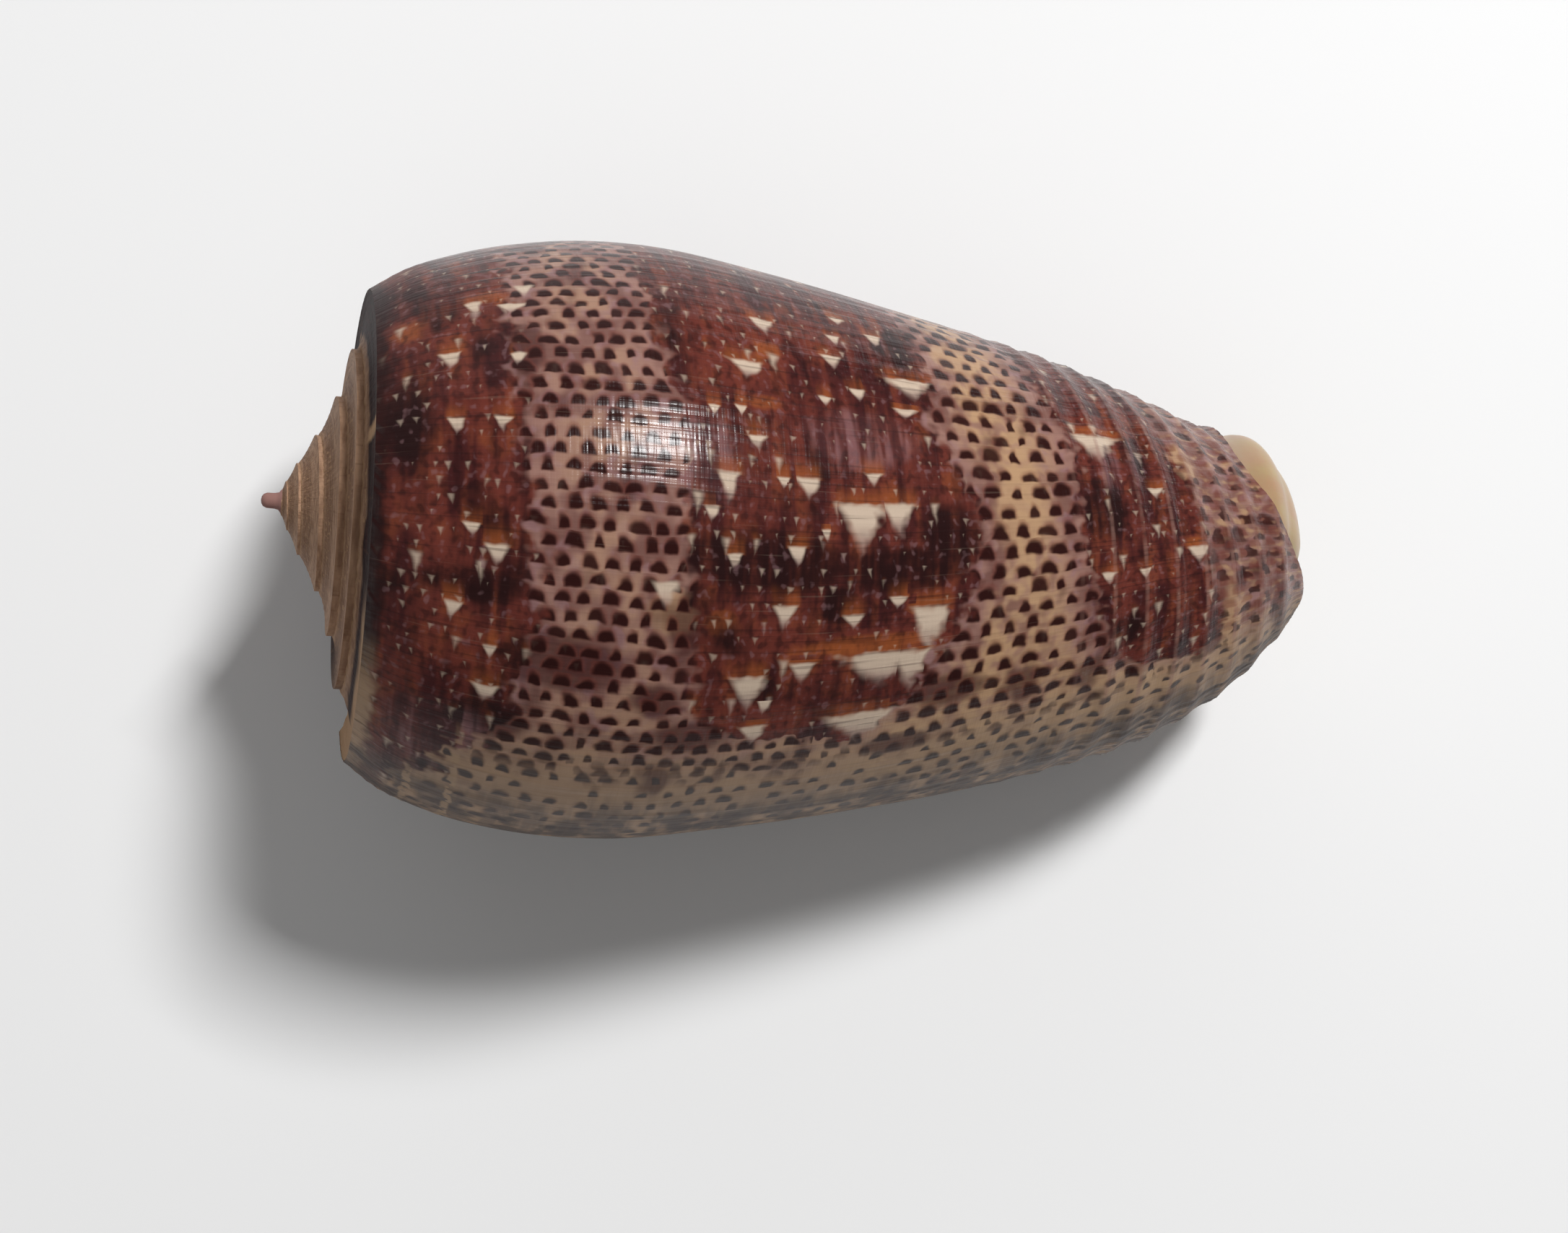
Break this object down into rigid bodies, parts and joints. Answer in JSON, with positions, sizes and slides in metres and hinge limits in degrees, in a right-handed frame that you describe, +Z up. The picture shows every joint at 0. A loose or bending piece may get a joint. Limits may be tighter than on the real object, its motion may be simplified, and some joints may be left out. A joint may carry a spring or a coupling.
{
  "type": "cone shell",
  "caption": "Polished cone-shaped sea snail shell with a low stepped spire, a long narrow aperture and a marbled and dotted purple-brown and cream pattern.",
  "frame": {"origin": "centre of the bounding box on the surface that the shell lies on", "axes": "+X from the spire to the canal end, +Z up, with the aperture underneath"},
  "size_m": [0.0574, 0.0316, 0.0303],
  "materials": {
    "shell": "glossy, patterned"
  },
  "bodies": {
    "root": {"shell": "shell"}
  },
  "joints": []
}
